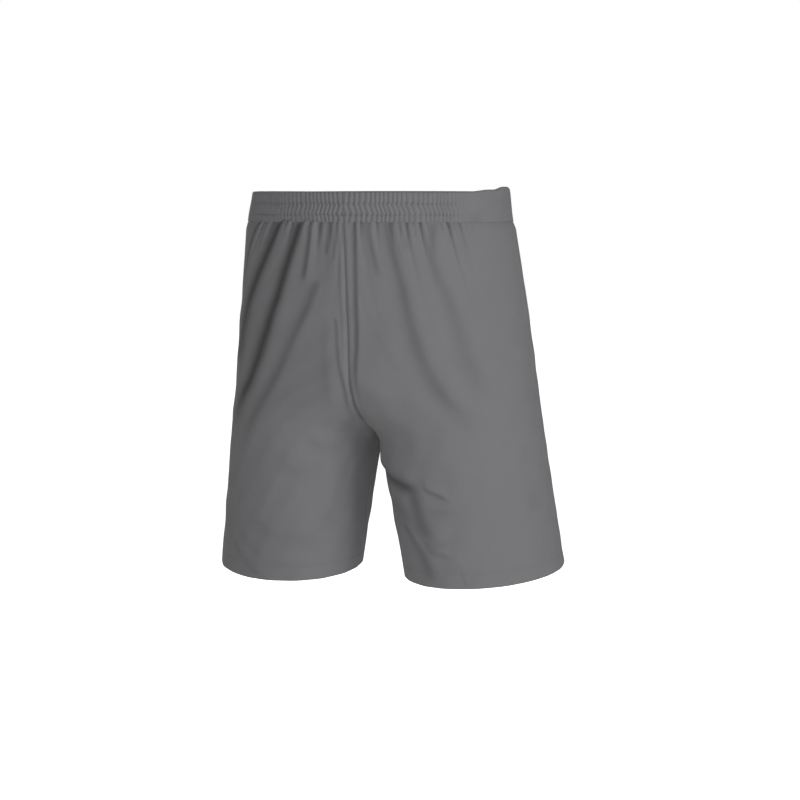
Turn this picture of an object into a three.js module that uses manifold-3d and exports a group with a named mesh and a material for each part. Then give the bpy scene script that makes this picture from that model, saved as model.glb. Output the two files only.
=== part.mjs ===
// Loose sports shorts, cut above the knee, over a padded liner, as worn: the rim of the waistband is level,
// the front faces -Y and the wearer's left is +X. The origin is the middle of the waist opening, at the rim.
// The two leg tubes swing at the hips, so every panel that runs past the hip crease is two solids, parted on
// a cylinder about the hip axis. Lengths are in millimetres, and a depth is measured down from the rim.
import * as THREE from "three";
import { mergeVertices } from "three/addons/utils/BufferGeometryUtils.js";
import Module from "manifold-3d";

// The outside of the garment at four levels: half width, reach to the front and to the back of the middle,
// and how far the section leans back for each millimetre outwards.
const outseam = 450;
const crotchDepth = 268;
const hipDepth = 163;
const levels = [
  { depth: 0, side: 162, front: 124, back: 101, lean: 0 },
  { depth: hipDepth, side: 182, front: 110, back: 122, lean: 0 },
  { depth: crotchDepth, side: 194, front: 90, back: 98, lean: 0.096 },
  { depth: outseam, side: 218, front: 63, back: 97, lean: 0.133 },
];
const riseSquareness = 2.27; // how late the seat narrows to the crotch
const hemInner = 32; // from the middle plane to the inner leg at the hem
const hemSlope = 0.21; // the hem is lower at the front by this share of its distance forward

// Cloth, bands and pads.
const clothThick = 1.6;
const gap = 0.4; // between pieces that are sewn or laid together
const sliver = 0.015; // features smaller than this are dropped from a finished solid
const waistbandHeight = 36;
const elasticThick = 2;
const hemHeight = 20;
const linerInset = 14; // from the outside of the shell to the outside of the liner
const linerThick = 1.5;
const linerLength = 395; // depth of the liner's cuffs
const cuffHeight = 25;
const cuffThick = 2.5;
const padThick = 10;
const padGap = 2; // from the liner to a pad laid on it
const padEdgeLoss = 0.66; // the share of a pad's thickness that is gone at its edge
const padRoundness = 0.62; // of its outline: 1 is an ellipse, and 0 is a rectangle
const tapeWidth = 13;
const tailPadWidth = 76;
const tailPadDrop = 66; // from the waistband to the tail pad's top
const tailStripMargin = 4; // of liner beside the tail pad, which stays with the seat
const tailStripDrop = 14; // from the hip axis down to the strip's lower edge
const tailPadMargin = 6; // from the tail pad's lower edge to the strip's
const hipPadRise = 13; // from the hip axis up to the hip pad's middle
const thighPadDrop = 44; // from the crotch down to the thigh pad's middle
const sitPadRise = 23; // from the crotch up to the sit pad's middle
const tabWidth = 24;
const tabHeight = 30;
const tabThick = 0.8;
const tabDrop = 3; // from the waistband's inner cloth to the tab's top

// The hip axis, about which the legs swing.
const axisAboveCrotch = 83;
const axisBack = 5;
const swingClearance = 8; // from the furthest wall at the axis to the parting cylinder
const saddleClearance = 3; // from the centre seam under the crotch to the legs' cloth
const seamClearance = 1.2; // from the seam's tape to the legs' cloth, on each side
const seamStripDrop = 22; // how far above the crotch the strip along the seam reaches down
const tailSideSweep = 1.5; // beside the tail strip, left free for the legs' swing
const tailSweep = 32; // below the tail strip, left free for the legs' swing
const axisDepth = crotchDepth - axisAboveCrotch;

const wasm = await Module();
wasm.setup();

// A value at any depth, smoothly through the levels with no overshoot: the slope at a level is the harmonic
// mean of the slopes on either side, and nothing at a turn.
function through(key, depth) {
  const last = levels.length - 1;
  const slope = (i) =>
    (levels[i + 1][key] - levels[i][key]) / (levels[i + 1].depth - levels[i].depth);
  const slopeAt = (i) => {
    if (i === 0) return slope(0);
    if (i === last) return slope(last - 1);
    const [a, b] = [slope(i - 1), slope(i)];
    return a * b <= 0 ? 0 : (2 * a * b) / (a + b);
  };
  let i = 0;
  while (i < last - 1 && depth > levels[i + 1].depth) i += 1;
  const span = levels[i + 1].depth - levels[i].depth;
  const t = (depth - levels[i].depth) / span;
  const [a, b] = [levels[i][key], levels[i + 1][key]];
  const [ta, tb] = [slopeAt(i) * span, slopeAt(i + 1) * span];
  return (
    a * (2 * t ** 3 - 3 * t ** 2 + 1) + b * (3 * t ** 2 - 2 * t ** 3) +
    ta * (t ** 3 - 2 * t ** 2 + t) + tb * (t ** 3 - t ** 2)
  );
}

// The left half's section at a depth, moved inwards by inset: an ellipse, cut off at the middle plane above
// the crotch. reach is the angle from the side to where the section ends, at the centre seam or the inseam.
function section(depth, inset) {
  const side = through("side", depth);
  const narrowing = Math.min(depth / crotchDepth, 1) ** riseSquareness;
  const below = Math.max(depth - crotchDepth, 0) / (outseam - crotchDepth);
  const inner = depth < crotchDepth ? -side * (1 - narrowing) : hemInner * below;
  const middle = (side + inner) / 2;
  const halfWidth = (side - inner) / 2 - inset;
  const front = through("front", depth);
  const back = through("back", depth);
  return {
    middle,
    halfWidth,
    centre: (back - front) / 2,
    halfDepth: (front + back) / 2 - inset,
    lean: through("lean", depth),
    slope: hemSlope * below ** 2,
    reach: Math.PI - Math.acos(Math.min(middle / halfWidth, 1)),
  };
}

// A point of the left half, at an angle from its side: negative to the front, positive to the back.
function onSection(s, depth, angle) {
  const across = s.halfWidth * Math.cos(angle);
  const x = Math.max(s.middle + across, 0);
  const y = s.centre + s.halfDepth * Math.sin(angle) + s.lean * across;
  return new THREE.Vector3(x, y, -depth + s.slope * (y - s.centre));
}

// Ways of naming places round the garment, each a function of (u, depth, inset).
const half = (hand) => (u, depth, inset) => {
  const s = section(depth, inset);
  const p = onSection(s, depth, u * s.reach);
  return p.setX(hand * p.x);
};
// u runs from -1 at the right side seam, through the centre seam, to 1 at the left side seam.
const acrossMiddle = (towards) => (u, depth, inset) => {
  const s = section(depth, inset);
  const p = onSection(s, depth, towards * (1 - Math.abs(u)) * s.reach);
  return p.setX(Math.sign(u) * p.x);
};
const FRONT = -1;
const BACK = 1;

// A closed solid from rows of points, each row a ring of the same count; the ends are closed by caps, or the
// last row joins the first when looped.
function solidOfRings(rows, capped) {
  const count = rows[0].length;
  const points = rows.flat();
  const faces = [];
  const quad = (a, b, c, d) => faces.push(a, b, c, a, c, d);
  const steps = capped ? rows.length - 1 : rows.length;
  for (let i = 0; i < steps; i += 1) {
    const [from, to] = [i * count, ((i + 1) % rows.length) * count];
    for (let j = 0; j < count; j += 1) {
      const next = (j + 1) % count;
      quad(from + j, from + next, to + next, to + j);
    }
  }
  if (capped) {
    for (const [start, row, turn] of [[0, rows[0], 1], [(rows.length - 1) * count, rows.at(-1), -1]]) {
      for (const [a, b, c] of capFaces(row)) {
        faces.push(start + a, ...(turn > 0 ? [start + c, start + b] : [start + b, start + c]));
      }
    }
  }
  return solidOf(points, faces);
}

// The triangles that close a ring of points, which runs up one side of a strip and down the other.
function capFaces(row) {
  const made = [];
  const n = row.length;
  for (let i = 0; i < n / 2 - 1; i += 1) {
    made.push([i, i + 1, n - 2 - i], [i, n - 2 - i, n - 1 - i]);
  }
  return made;
}

// A manifold solid from points and triangles, turned to face outwards.
function solidOf(points, faces) {
  let volume = 0;
  for (let i = 0; i < faces.length; i += 3) {
    const [a, b, c] = [points[faces[i]], points[faces[i + 1]], points[faces[i + 2]]];
    volume += a.dot(new THREE.Vector3().crossVectors(b, c));
  }
  const turned = volume < 0 ? [...faces].reverse() : faces;
  const geometry = new THREE.BufferGeometry().setFromPoints(points).setIndex(turned);
  return fromGeometry(geometry);
}

function fromGeometry(geometry) {
  const bare = geometry.clone();
  bare.deleteAttribute("normal");
  bare.deleteAttribute("uv");
  const merged = mergeVertices(bare, 1e-4);
  const made = new wasm.Mesh({
    numProp: 3,
    vertProperties: merged.attributes.position.array,
    triVerts: new Uint32Array(merged.index.array),
  });
  return new wasm.Manifold(made);
}

// A layer of cloth between two insets, over a stretch round the garment and a stretch of depths.
function layer(place, [uFrom, uTo], [top, bottom], [outside, inside], [around, down]) {
  const rows = [];
  for (let i = 0; i <= around; i += 1) {
    const u = uFrom + ((uTo - uFrom) * i) / around;
    const row = [];
    for (let j = 0; j <= down; j += 1) row.push(place(u, top + ((bottom - top) * j) / down, outside));
    for (let j = down; j >= 0; j -= 1) row.push(place(u, top + ((bottom - top) * j) / down, inside));
    rows.push(row);
  }
  return solidOfRings(rows, true);
}

// A closed band all the way round one leg tube.
function band(place, [top, bottom], [outside, inside], around) {
  const rows = [];
  for (let i = 0; i < around; i += 1) {
    const u = -1 + (2 * i) / around;
    rows.push([
      place(u, top, outside), place(u, bottom, outside), place(u, bottom, inside), place(u, top, inside),
    ]);
  }
  return solidOfRings(rows, false);
}

// A pad with rounded corners, thickest in the middle and a third as thick at its edge. place takes two
// numbers from -1 to 1 across and down the pad, and an inset.
function padSolid(place, outside, thick) {
  const [rings, spokes] = [3, 20];
  const face = (insetAt) => {
    const points = [place(0, 0, insetAt(0))];
    for (let r = 1; r <= rings; r += 1) {
      for (let k = 0; k < spokes; k += 1) {
        const turn = (2 * Math.PI * k) / spokes;
        const [c, s] = [Math.cos(turn), Math.sin(turn)];
        const [across, down] = [c, s].map((v) => Math.sign(v) * Math.abs(v) ** padRoundness * (r / rings));
        points.push(place(across, down, insetAt(r / rings)));
      }
    }
    return points;
  };
  const outer = face(() => outside);
  const inner = face((r) => outside + thick * (1 - padEdgeLoss * r ** 3));
  const faces = [];
  const at = (r, k) => 1 + (r - 1) * spokes + (k % spokes);
  for (const [base, turn] of [[0, 1], [outer.length, -1]]) {
    const tri = (a, b, c) => faces.push(base + a, ...(turn > 0 ? [base + b, base + c] : [base + c, base + b]));
    for (let k = 0; k < spokes; k += 1) {
      tri(0, at(1, k), at(1, k + 1));
      for (let r = 1; r < rings; r += 1) {
        tri(at(r, k), at(r + 1, k), at(r + 1, k + 1));
        tri(at(r, k), at(r + 1, k + 1), at(r, k + 1));
      }
    }
  }
  for (let k = 0; k < spokes; k += 1) {
    const [a, b] = [at(rings, k), at(rings, k + 1)];
    faces.push(a, a + outer.length, b + outer.length, a, b + outer.length, b);
  }
  return solidOf([...outer, ...inner], faces);
}

// A bar along X about the hip axis, and a box given by its corners.
const wide = 3 * levels.at(-1).side;
function hipCylinder(radius, width = wide) {
  const bar = new THREE.CylinderGeometry(radius, radius, width, 48);
  bar.rotateZ(Math.PI / 2).translate(0, axisBack, -axisDepth);
  return fromGeometry(bar);
}
function block([x0, y0, z0], [x1, y1, z1]) {
  const box = new THREE.BoxGeometry(x1 - x0, y1 - y0, z1 - z0);
  box.translate((x0 + x1) / 2, (y0 + y1) / 2, (z0 + z1) / 2);
  return fromGeometry(box);
}

// The parting between the seat and the legs: a cylinder about the hip axis above it, with the seat outside.
const axisSection = section(axisDepth, 0);
const wallBack = axisSection.centre + axisSection.halfDepth - axisBack;
const wallFront = axisSection.halfDepth - axisSection.centre + axisBack;
const swingRadius = Math.max(wallBack, wallFront) + swingClearance;
const legSpace = hipCylinder(swingRadius + gap);
const aboveAxis = block([-wide, -wide, -axisDepth], [wide, wide, wide]);
const seatSpace = aboveAxis.subtract(hipCylinder(swingRadius - gap));

// The centre seam belongs to the seat from the front parting, under the crotch, to the back parting, so the
// legs keep clear of a strip along it, and of the seam's own circle just under the crotch.
function centreLine(inset, top, bottom, steps) {
  const line = [];
  for (let i = 0; i <= steps; i += 1) {
    const depth = top + (bottom - top) * Math.sin((Math.PI / 2) * (i / steps));
    const s = section(depth, inset);
    line.push([onSection(s, depth, -s.reach), onSection(s, depth, s.reach)]);
  }
  return line;
}
// The depth at which a layer's left and right halves meet.
function crotchAt(inset) {
  let [low, high] = [hipDepth, crotchDepth + inset];
  for (let i = 0; i < 40; i += 1) {
    const tried = (low + high) / 2;
    const s = section(tried, inset);
    if (s.middle < s.halfWidth) low = tried;
    else high = tried;
  }
  return low;
}
const fromAxis = (p) => Math.hypot(p.y - axisBack, p.z + axisDepth);
const saddleTop = axisDepth + axisAboveCrotch / 4;
const saddle = centreLine(0, saddleTop, crotchDepth, 24).flat();
const saddleRadius = Math.max(...saddle.map(fromAxis)) + saddleClearance;
const stripSide = tapeWidth / 2 + seamClearance;
const strip = block([-stripSide, -wide, -wide], [stripSide, wide, wide]);
const seamSpace = strip.intersect(
  block([-wide, -wide, -(crotchDepth - seamStripDrop)], [wide, wide, wide]).add(hipCylinder(saddleRadius)),
);

const shellTop = waistbandHeight + gap;

// The U-shaped strip of a layer that runs down the front centre seam, under the crotch and up the back.
function centreStrip(inset, thick, backTop) {
  const outer = centreLine(inset, shellTop, crotchAt(inset), 22);
  const path = [...outer.map(([f]) => f), ...outer.map(([, b]) => b).reverse().slice(1)];
  const outline = path.map((p) => new THREE.Vector2(p.y, p.z));
  const inward = outline.map((p, i) => {
    const before = outline[Math.max(i - 1, 0)];
    const after = outline[Math.min(i + 1, outline.length - 1)];
    const along = after.clone().sub(before).normalize();
    return new THREE.Vector2(p.x - along.y * thick, p.y + along.x * thick);
  });
  const shape = new THREE.Shape([...outline, ...inward.reverse()]);
  const strap = new THREE.ExtrudeGeometry(shape, { depth: tapeWidth, bevelEnabled: false, steps: 1 });
  strap.applyMatrix4(new THREE.Matrix4().set(0, 0, 1, -tapeWidth / 2, 1, 0, 0, 0, 0, 1, 0, 0, 0, 0, 0, 1));
  const backCut = block([-wide, 0, backTop], [wide, wide, wide]);
  return fromGeometry(strap).intersect(hipCylinder(swingRadius)).subtract(backCut);
}

// Materials: colour, roughness.
const cloth = (color, roughness) => new THREE.MeshStandardMaterial({ color, roughness, metalness: 0 });
const shellCloth = cloth(0x707072, 0.8);
const bandCloth = cloth(0x6c6c6e, 0.85);
const linerMesh = cloth(0x2b2c30, 0.9);
const elasticKnit = cloth(0x3c3d41, 0.85);
const foam = cloth(0x3a3c42, 0.7);
const satin = cloth(0xe8e8e6, 0.5);

const shorts = new THREE.Group();
const [seat, leftLeg, rightLeg] = ["seat", "left_leg", "right_leg"].map((name) => {
  const group = new THREE.Group();
  group.name = name;
  shorts.add(group);
  return group;
});
function addPiece(group, name, solid, material) {
  const made = solid.simplify(sliver).getMesh();
  const geometry = new THREE.BufferGeometry()
    .setAttribute("position", new THREE.BufferAttribute(new Float32Array(made.vertProperties), 3))
    .setIndex(new THREE.BufferAttribute(made.triVerts, 1));
  geometry.computeVertexNormals();
  const piece = new THREE.Mesh(geometry, material);
  piece.name = name;
  group.add(piece);
}

// The share of a half or quarter that a sewing gap takes.
const seam = gap / levels[1].side;
const hemTop = outseam - hemHeight;
const bandDepth = 2 * clothThick + elasticThick + 2 * gap;

// Waistband: a casing folded over a ring of elastic, in a front and a back half joined at the side seams.
function addWaistband() {
  for (const [name, towards] of [["waistband_front", FRONT], ["waistband_back", BACK]]) {
    const place = acrossMiddle(towards);
    const ends = [-1 + seam, 1 - seam];
    const casing = layer(place, ends, [0, waistbandHeight], [0, bandDepth], [24, 1]);
    const channel = layer(
      place, [-1.01, 1.01], [clothThick, waistbandHeight + 1], [clothThick, bandDepth - clothThick], [24, 1],
    );
    addPiece(seat, name, casing.subtract(channel), bandCloth);
  }
  const ring = [FRONT, BACK].map((towards) => {
    const steps = 24;
    return Array.from({ length: steps }, (_, i) => {
      const u = towards === FRONT ? -1 + (2 * i) / steps : 1 - (2 * i) / steps;
      const at = (depth, inset) => acrossMiddle(towards)(u, depth, inset);
      const [high, low] = [clothThick + gap, waistbandHeight - gap];
      const [outside, inside] = [clothThick + gap, clothThick + gap + elasticThick];
      return [at(high, outside), at(low, outside), at(low, inside), at(high, inside)];
    });
  }).flat();
  addPiece(seat, "waistband_elastic", solidOfRings(ring, false), elasticKnit);
}

// Outer panels: a front and a back for each side, each parted at the hip crease.
function addShell(hand, side, leg) {
  const place = half(hand);
  for (const [face, ends] of [["front", [-1 + seam / 2, -seam]], ["back", [seam, 1 - seam / 2]]]) {
    const panel = layer(place, ends, [shellTop, hemTop], [0, clothThick], [12, 14]);
    const clear = block([-gap / 2, -wide, -wide], [gap / 2, wide, wide]);
    const upper = layer(place, ends, [shellTop, axisDepth], [0, clothThick], [12, 5]);
    addPiece(seat, `${side}_${face}_panel_upper`, upper.subtract(legSpace).subtract(clear), shellCloth);
    const lower = panel.subtract(seatSpace).subtract(seamSpace).subtract(clear);
    addPiece(leg, `${side}_${face}_panel_leg`, lower, shellCloth);
  }
  const hem = band(place, [hemTop + gap, outseam], [0, 2 * clothThick], 32);
  addPiece(leg, `${side}_hem`, hem, shellCloth);
}

// Liner: a close mesh short inside the shell. Its back middle stays with the seat to carry the tail pad.
const linerLayer = [linerInset, linerInset + linerThick];
const tailSide = tailPadWidth / 2 + tailStripMargin;
const tailBottom = -(axisDepth + tailStripDrop);
function addLinerSeat() {
  const tailStrip = block([-tailSide, axisBack, tailBottom], [tailSide, wide, wide]);
  const ends = [-1 + seam, 1 - seam];
  const front = layer(acrossMiddle(FRONT), ends, [shellTop, axisDepth], linerLayer, [24, 5]);
  addPiece(seat, "liner_front_upper", front.subtract(legSpace), linerMesh);
  const back = layer(acrossMiddle(BACK), ends, [shellTop, -tailBottom], linerLayer, [24, 6]);
  addPiece(seat, "liner_back_upper", back.subtract(legSpace.subtract(tailStrip)), linerMesh);
  addPiece(seat, "liner_gusset", centreStrip(linerInset, linerThick, tailBottom - gap), linerMesh);
}
function addLinerLeg(hand, side, leg) {
  const place = half(hand);
  const sweepSide = tailSide + tailSideSweep;
  const sweep = block([-sweepSide, axisBack, tailBottom - tailSweep], [sweepSide, wide, wide]);
  const cuffTop = linerLength - cuffHeight;
  for (const [face, ends] of [["front", [-1 + seam / 2, -seam]], ["back", [seam, 1 - seam / 2]]]) {
    const panel = layer(place, ends, [shellTop, cuffTop], linerLayer, [12, 12]);
    const lower = panel.subtract(seatSpace).subtract(strip).subtract(sweep);
    addPiece(leg, `${side}_liner_${face}`, lower, linerMesh);
  }
  const cuff = band(place, [cuffTop + gap, linerLength], [linerInset, linerInset + cuffThick], 32);
  addPiece(leg, `${side}_liner_cuff`, cuff, elasticKnit);
}

// Pads, on the liner's inner face: where the angle round the leg tube and the depth of each middle are, and
// its half sizes.
const padInset = linerInset + linerThick + padGap;
const legPads = [
  { name: "hip_pad", angle: 4, depth: axisDepth - hipPadRise, halfAngle: 25, halfHeight: 62 },
  { name: "thigh_pad", angle: -18, depth: crotchDepth + thighPadDrop, halfAngle: 34, halfHeight: 52 },
  { name: "sit_pad", angle: 76, depth: crotchDepth - sitPadRise, halfAngle: 22, halfHeight: 52 },
];
function addPads(hand, side, leg) {
  const radians = THREE.MathUtils.degToRad;
  for (const pad of legPads) {
    const place = (across, down, inset) => {
      const depth = pad.depth + down * pad.halfHeight;
      const p = onSection(section(depth, inset), depth, radians(pad.angle + across * pad.halfAngle));
      return p.setX(hand * p.x);
    };
    addPiece(leg, `${side}_${pad.name}`, padSolid(place, padInset, padThick), foam);
  }
}
function addTailPad() {
  const [top, bottom] = [waistbandHeight + tailPadDrop, -tailBottom - tailPadMargin];
  const place = (across, down, inset) => {
    const depth = (top + bottom) / 2 + (down * (bottom - top)) / 2;
    const s = section(depth, inset);
    const x = Math.abs(across) * (tailPadWidth / 2);
    const angle = Math.acos(Math.max((x - s.middle) / s.halfWidth, -1));
    return onSection(s, depth, angle).setX(Math.sign(across) * x);
  };
  addPiece(seat, "tailbone_pad", padSolid(place, padInset, padThick), foam);
}

// A blank size tab, sewn inside the back of the waistband.
function addSizeTab() {
  const place = (u, depth, inset) => {
    const s = section(depth, inset);
    const x = Math.abs(u) * (tabWidth / 2);
    const angle = Math.acos(Math.max((x - s.middle) / s.halfWidth, -1));
    return onSection(s, depth, angle).setX(Math.sign(u) * x);
  };
  const from = bandDepth + gap;
  const top = clothThick + tabDrop;
  const tab = layer(place, [-1, 1], [top, top + tabHeight], [from, from + tabThick], [2, 1]);
  addPiece(seat, "size_tab", tab, satin);
}

addWaistband();
addPiece(seat, "rise_seam_tape", centreStrip(0, clothThick, 0), shellCloth);
addLinerSeat();
addTailPad();
addSizeTab();
for (const [hand, side, leg] of [[1, "left", leftLeg], [-1, "right", rightLeg]]) {
  addShell(hand, side, leg);
  addLinerLeg(hand, side, leg);
  addPads(hand, side, leg);
}

export default shorts;
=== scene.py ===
"""Loose sports shorts over a padded liner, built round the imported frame.

Everything is in metres: +Z up, the front faces -Y, the wearer's left is +X, and the origin is the middle of
the waist opening. A place on the cloth is given by its hand (1 left, -1 right), its angle round the leg tube
from the side seam (positive to the front), and its depth below the rim of the waistband.
"""

import math

import bpy
import numpy as np
from bpy.props import FloatProperty, FloatVectorProperty, PointerProperty
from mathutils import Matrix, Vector


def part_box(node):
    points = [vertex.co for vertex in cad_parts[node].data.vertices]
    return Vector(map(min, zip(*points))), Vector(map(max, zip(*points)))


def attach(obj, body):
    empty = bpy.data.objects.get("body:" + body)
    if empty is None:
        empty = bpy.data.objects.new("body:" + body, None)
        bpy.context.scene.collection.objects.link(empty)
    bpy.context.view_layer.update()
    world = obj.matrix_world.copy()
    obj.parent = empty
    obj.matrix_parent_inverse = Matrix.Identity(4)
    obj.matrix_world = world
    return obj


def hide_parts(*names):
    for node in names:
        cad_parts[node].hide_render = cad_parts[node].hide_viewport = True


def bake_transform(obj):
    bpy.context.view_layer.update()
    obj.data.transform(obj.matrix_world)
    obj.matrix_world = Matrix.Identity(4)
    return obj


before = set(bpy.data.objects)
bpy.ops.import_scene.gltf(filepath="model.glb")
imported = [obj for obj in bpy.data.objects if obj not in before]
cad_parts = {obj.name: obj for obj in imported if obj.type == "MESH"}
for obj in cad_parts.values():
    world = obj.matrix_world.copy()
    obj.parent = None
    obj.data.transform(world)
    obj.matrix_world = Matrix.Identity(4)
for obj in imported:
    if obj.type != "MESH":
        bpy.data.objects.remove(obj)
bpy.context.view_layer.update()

bl_info = {
    "name": "Padded shorts",
    "version": (1, 0, 0),
    "blender": (4, 5, 0),
    "location": "3D View > Sidebar > Shorts",
    "description": "Builds loose sports shorts over a padded liner, piece by piece",
    "category": "Add Mesh",
}

MM = 0.001
LEFT, RIGHT = 1, -1
FRONT, BACK = 1, -1
SIDES = {LEFT: "left", RIGHT: "right"}
FACES = {FRONT: "front", BACK: "back"}

# The garment's outside at four depths: half width, reach to the front and to the back of the middle, and how
# far the section leans back for each metre outwards.
OUTSEAM = 0.450
CROTCH = 0.268
LEVEL_DEPTHS = np.array([0.0, 0.163, CROTCH, OUTSEAM])
LEVEL_SIDE = np.array([0.162, 0.182, 0.194, 0.218])
LEVEL_FRONT = np.array([0.124, 0.110, 0.090, 0.063])
LEVEL_BACK = np.array([0.101, 0.122, 0.098, 0.097])
LEVEL_LEAN = np.array([0.0, 0.0, 0.096, 0.133])
RISE_SQUARENESS = 3.0
HEM_INNER = 0.032
CROTCH_EASE = 0.026
HEM_SLOPE = 0.21

BAND_BOTTOM = -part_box("waistband_front")[0].z
GATHER_SHADE_DEPTH = 0.0010  # how deep a gather lies where its painted shade is full
BAND_DEPTH = 0.006  # from the outside of the casing to its inside
RIM_RADIUS = 0.0022  # how far down the casing turns over the rim
ELASTIC_MIDDLE, ELASTIC_HALF = 0.0185, 0.0150  # depth of the elastic's middle, and half its height
WAIST_TURN = 0.118  # metres of cloth for each radian round the waist
LEG_TURN = 0.12  # metres of cloth for each radian round a leg
FINE_GATHER, WIDE_GATHER = 0.0074, 0.0165  # from one gather below the band to the next
HAND_SHIFT = 0.0007  # moves the gathers apart so that the two halves don't mirror each other
HEM_HEIGHT = 0.020
HEM_GIRTH = 0.56  # metres round the hem's edge, for counting stitches
HEM_STITCHES = (0.0172, 0.0146)  # how far the twin rows of stitches lie above the hem's edge
LINER_INSET = 0.014
CUFF_BOTTOM = 0.395
CUFF_HEIGHT = 0.025

# Each fold that runs down the cloth: a few places (depth mm, angle degrees) on the flank that faces the
# wearer's right, its height, the half width of that flank at the top and at the bottom, and how far the
# cloth takes to fall away again towards the wearer's left, all in millimetres. The places are given one by
# one.
DOWN_FOLDS = {
    RIGHT: [
        ([(35, 43), (65, 35), (125, 25)], 7.0, 4.0, 5.5, 9),
        ([(35, 49), (70, 44)], 1.6, 2.0, 2.5, 5),
        ([(35, 60), (70, 53), (140, 39), (225, 31)], 11.0, 6.5, 13.0, 13),
        ([(35, 71), (60, 68), (95, 64), (140, 60), (215, 54), (295, 41)], 10.5, 5.0, 11.5, 13),
        ([(35, 76), (85, 74), (110, 73)], 4.5, 2.3, 3.4, 8),
        ([(105, 80), (195, 72), (240, 70), (320, 57)], 3.4, 5.5, 8.0, 17),
        ([(35, 81), (65, 79)], 2.4, 1.8, 2.2, 4),
        ([(35, 84), (80, 83)], 3.4, 2.0, 2.6, 5),
        ([(20, 88), (85, 86)], 2.4, 1.6, 2.0, 5),
        ([(150, 91), (180, 96), (210, 105), (250, 128), (270, 145), (285, 162)], 3.0, 1.8, 2.4, 4),
        ([(150, 86), (190, 92), (245, 112), (260, 124)], 1.5, 5.0, 6.0, 9),
        ([(310, 152), (350, 146), (405, 133)], 2.0, 5.0, 7.0, 14),
    ],
    LEFT: [
        ([(40, 85), (100, 87), (140, 90), (180, 96), (225, 111), (255, 130)], 3.4, 2.0, 2.8, 8),
        ([(35, 81), (80, 78), (105, 77)], 2.2, 2.4, 4.0, 8),
        ([(35, 72), (130, 68), (230, 69), (260, 65), (295, 59)], 3.4, 3.4, 10.0, 22),
        ([(35, 63), (70, 64)], 2.0, 1.8, 2.4, 5),
        ([(35, 51), (75, 54), (140, 48), (210, 46), (255, 42)], 2.5, 3.2, 11.0, 22),
        ([(35, 44), (65, 45)], 1.6, 1.8, 2.4, 5),
        ([(35, 40), (80, 37)], 1.2, 3.0, 4.5, 8),
        ([(165, 84), (215, 83)], 0.9, 4.0, 5.0, 9),
        ([(345, 116), (405, 107)], 4.2, 7.0, 9.0, 14),
        ([(385, 132), (405, 121), (430, 113), (450, 110)], 3.8, 5.0, 8.0, 12),
        ([(425, 87), (450, 86)], 1.2, 1.0, 1.4, 3),
    ],
}
# Each fold that runs round a leg: a few places (angle degrees, depth mm) on the flank that faces down, its
# height, that flank's half width, and how far the cloth takes to fall away above it.
ROUND_FOLDS = {
    RIGHT: [
        ([(70, 382), (90, 397), (110, 404), (130, 402)], 1.3, 6.0, 14),
        ([(50, 408), (75, 437), (90, 447)], 1.9, 4.0, 9),
        ([(60, 402), (85, 423)], 1.1, 4.0, 8),
        ([(90, 321), (110, 328), (130, 324)], 1.0, 6.0, 12),
        ([(110, 290), (125, 300), (145, 302)], 1.5, 6.0, 14),
    ],
    LEFT: [
        ([(165, 316), (140, 333), (110, 345)], 8.0, 6.0, 13),
        ([(106, 344), (88, 356)], 3.2, 2.4, 6),
        ([(160, 352), (140, 365), (120, 373)], 3.2, 8.0, 14),
        ([(115, 366), (100, 370), (85, 368)], 1.8, 3.6, 8),
        ([(120, 393), (108, 404), (92, 400)], 1.9, 4.2, 9),
        ([(112, 410), (94, 416)], 2.2, 3.2, 7),
        ([(102, 436), (87, 421)], 1.6, 2.8, 6),
        ([(20, 236), (-8, 246)], 1.2, 6.0, 10),
        ([(22, 172), (-8, 180)], 0.9, 6.0, 9),
        ([(34, 352), (12, 368)], 1.0, 6.0, 12),
    ],
}
# The back of both halves, where folds fall from the gathers and bunch under the seat.
BACK_DOWN_FOLDS = [
    ([(35, -44), (70, -40), (120, -33), (170, -30)], 3.4, 3.4, 6.0, 12),
    ([(35, -53), (60, -50), (110, -47), (190, -46)], 4.2, 3.0, 6.0, 14),
    ([(35, -62), (90, -60)], 2.2, 2.0, 3.0, 6),
    ([(35, -70), (110, -67), (160, -66)], 3.2, 2.6, 5.0, 11),
    ([(35, -79), (75, -78)], 2.0, 2.0, 2.6, 6),
    ([(35, -86), (120, -88), (165, -97)], 2.4, 2.0, 4.0, 8),
    ([(260, -72), (310, -66), (370, -62)], 2.6, 6.0, 8.0, 17),
]
BACK_ROUND_FOLDS = [
    ([(-50, 236), (-80, 248), (-110, 246)], 2.6, 5.0, 14),
    ([(-60, 267), (-90, 276), (-130, 268)], 2.2, 5.5, 12),
    ([(-70, 412), (-95, 420), (-120, 418)], 1.2, 5.0, 10),
]


class ShortsSizes(bpy.types.PropertyGroup):
    """Sizes that a maker would change."""

    cloth: FloatProperty(
        name="Cloth", description="Thickness of the outer knit", default=0.0007, unit="LENGTH"
    )
    gather_pitch: FloatProperty(
        name="Band gather", description="From one gather of the band to the next", default=0.0043,
        unit="LENGTH",
    )
    gather_height: FloatProperty(
        name="Gather height", description="How far a gather of the band stands up", default=0.0013,
        unit="LENGTH",
    )
    stitch_pitch: FloatProperty(
        name="Stitch", description="From one stitch of a seam to the next", default=0.0028, unit="LENGTH"
    )
    pad_thickness: FloatProperty(
        name="Pad", description="Thickness of a pad at its middle", default=0.010, unit="LENGTH"
    )


def colour(name, description, code):
    """A colour property whose default is an sRGB hex code."""
    default = [int(code[i : i + 2], 16) / 255 for i in (1, 3, 5)]
    return FloatVectorProperty(
        name=name, description=description, default=default, size=3, min=0, max=1, subtype="COLOR_GAMMA"
    )


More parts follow.
